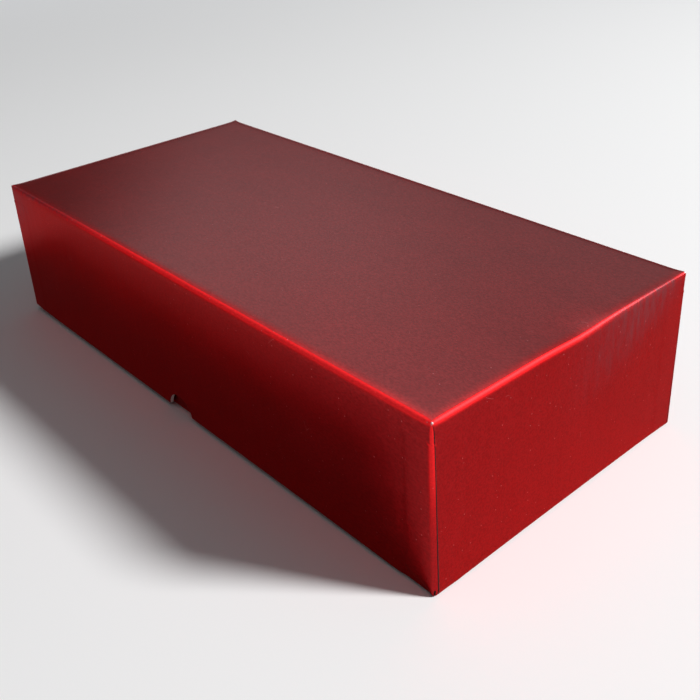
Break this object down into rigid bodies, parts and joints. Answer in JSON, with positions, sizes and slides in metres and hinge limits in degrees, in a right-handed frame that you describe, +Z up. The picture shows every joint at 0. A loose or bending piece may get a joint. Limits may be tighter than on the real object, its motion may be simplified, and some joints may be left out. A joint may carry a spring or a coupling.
{
  "type": "slab box",
  "caption": "Long two-row storage box for graded coin slabs: a red foil paper tray under a full-depth lift-off lid with thumb notches.",
  "frame": {"origin": "centre of the footprint, on the table", "axes": "+X along the length, towards the end wall that the picture shows; +Y across the width, away from the long wall that the picture shows; +Z up, the way the lid lifts"},
  "size_m": [0.388, 0.184, 0.0925],
  "materials": {
    "lid_foil_paper": "metallic foil face, fine orange-peel grain",
    "tray_foil_paper": "metallic foil face, fine orange-peel grain",
    "lid_chipboard": "white-lined, matt, raw at cut edges",
    "tray_chipboard": "white-lined, matt, raw at cut edges",
    "stay_tape": "matt gummed kraft tape",
    "divider_board": "white-lined, matt"
  },
  "bodies": {
    "tray": {"tray_wrap": "tray_foil_paper", "tray_bottom_sheet": "tray_foil_paper", "tray_board_bottom": "tray_chipboard", "tray_board_front": "tray_chipboard", "tray_board_back": "tray_chipboard", "tray_board_left": "tray_chipboard", "tray_board_right": "tray_chipboard", "tray_stay_front_left": "stay_tape", "tray_stay_front_right": "stay_tape", "tray_stay_back_left": "stay_tape", "tray_stay_back_right": "stay_tape", "row_divider": "divider_board"},
    "lid": {"lid_wrap": "lid_foil_paper", "lid_board_top": "lid_chipboard", "lid_board_front": "lid_chipboard", "lid_board_back": "lid_chipboard", "lid_board_left": "lid_chipboard", "lid_board_right": "lid_chipboard", "lid_stay_front_left": "stay_tape", "lid_stay_front_right": "stay_tape", "lid_stay_back_left": "stay_tape", "lid_stay_back_right": "stay_tape"}
  },
  "joints": [
    {"name": "lid_lift", "type": "slide", "parent": "tray", "child": "lid", "axis": [0, 0, 1], "range_m": [0, 0.14]}
  ]
}
